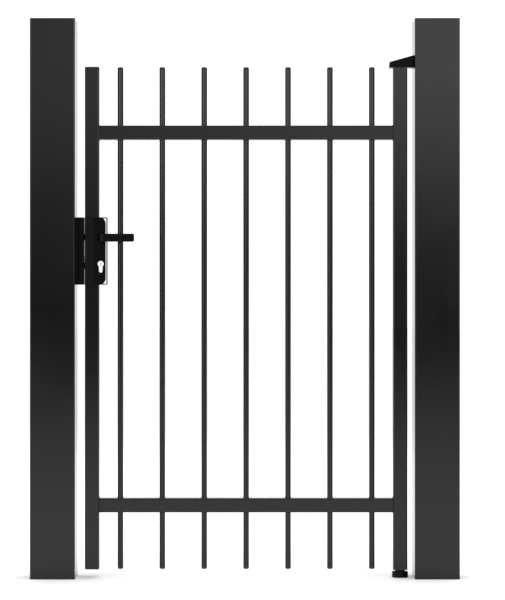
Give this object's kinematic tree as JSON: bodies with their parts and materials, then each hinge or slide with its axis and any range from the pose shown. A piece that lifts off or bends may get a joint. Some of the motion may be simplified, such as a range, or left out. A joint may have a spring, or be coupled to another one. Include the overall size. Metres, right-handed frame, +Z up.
{
  "type": "garden gate",
  "caption": "Swing gate leaf of vertical round bars and two rails between square posts, with pivot hinges, lever lock and keeper.",
  "frame": {"origin": "on the ground, midway between the posts and in the middle of their depth, which is also the middle of the bounding box's bottom face", "axes": "+Z up, +X from the keeper post to the hinge post, -Y is the front, towards which the leaf opens"},
  "size_m": [1.193, 0.168, 1.557],
  "materials": {
    "powder_coat": "satin",
    "lock_black": "satin",
    "cap_plastic": "satin",
    "zinc_steel": "zinc plated",
    "stainless": "brushed",
    "nickel": "satin nickel",
    "bronze": "machined",
    "nylon": "matt",
    "rubber": "matt"
  },
  "bodies": {
    "posts": {"left_post": "powder_coat", "right_post": "powder_coat", "left_post_cap": "powder_coat", "right_post_cap": "powder_coat", "left_post_foot": "zinc_steel", "right_post_foot": "zinc_steel", "foot_screws": "zinc_steel", "keeper_base": "lock_black", "keeper_strike": "lock_black", "keeper_screws": "zinc_steel", "keeper_rivet_nuts": "zinc_steel", "stop_bar": "lock_black", "stop_screws": "zinc_steel", "stop_buffers": "rubber", "top_hinge_bracket": "lock_black", "bracket_bolts": "zinc_steel", "top_pin": "stainless", "floor_pivot": "lock_black", "floor_pin": "stainless"},
    "leaf": {"latch_stile": "powder_coat", "hinge_stile": "powder_coat", "upper_rail": "powder_coat", "lower_rail": "powder_coat", "bar_1": "powder_coat", "bar_2": "powder_coat", "bar_3": "powder_coat", "bar_4": "powder_coat", "bar_5": "powder_coat", "bar_6": "powder_coat", "bar_7": "powder_coat", "bar_top_caps": "cap_plastic", "bar_bottom_caps": "cap_plastic", "stile_plugs": "cap_plastic", "pivot_blocks": "powder_coat", "pivot_bushes": "bronze", "thrust_washer": "bronze", "lock_frame": "powder_coat", "face_tabs": "powder_coat", "faceplate": "stainless", "face_screws": "zinc_steel", "lock_case": "zinc_steel", "case_cover": "zinc_steel", "front_escutcheon": "lock_black", "rear_escutcheon": "lock_black", "escutcheon_bolts": "zinc_steel", "lever_bushes": "nylon", "cylinder_housing": "nickel", "cylinder_screw": "zinc_steel", "latch_spring": "zinc_steel"},
    "handle": {"front_lever": "lock_black", "rear_lever": "lock_black", "spindle": "zinc_steel", "lever_grub_screws": "zinc_steel", "follower": "zinc_steel"},
    "latch": {"latch_bolt": "stainless"},
    "key_core": {"front_cylinder_plug": "nickel", "rear_cylinder_plug": "nickel", "cam": "nickel"},
    "dead_bolt": {"dead_bolt": "stainless"}
  },
  "joints": [
    {"name": "leaf_swing", "type": "hinge", "parent": "posts", "child": "leaf", "pos_m": [0.4335, 0, 0], "axis": [0, 0, 1], "range_deg": [0, 100]},
    {"name": "handle_press", "type": "hinge", "parent": "leaf", "child": "handle", "pos_m": [-0.4015, 0, 0.9475], "axis": [0, 1, 0], "range_deg": [0, 40], "stiffness_Nm_per_rad": 1, "springref_deg": -51.57},
    {"name": "latch_slide", "type": "slide", "parent": "leaf", "child": "latch", "axis": [1, 0, 0], "range_m": [0, 0.0112], "deforming": ["latch_spring"]},
    {"name": "key_turn", "type": "hinge", "parent": "leaf", "child": "key_core", "pos_m": [-0.4015, 0, 0.8755], "axis": [0, -1, 0], "range_deg": [0, 360]},
    {"name": "dead_bolt_slide", "type": "slide", "parent": "leaf", "child": "dead_bolt", "axis": [-1, 0, 0], "range_m": [0, 0.014]}
  ],
  "couplings": [
    {"joint": "latch_slide", "follows": "handle_press", "m_per_rad": 0.016},
    {"joint": "key_turn", "follows": "dead_bolt_slide", "rad_per_m": 448.79}
  ]
}
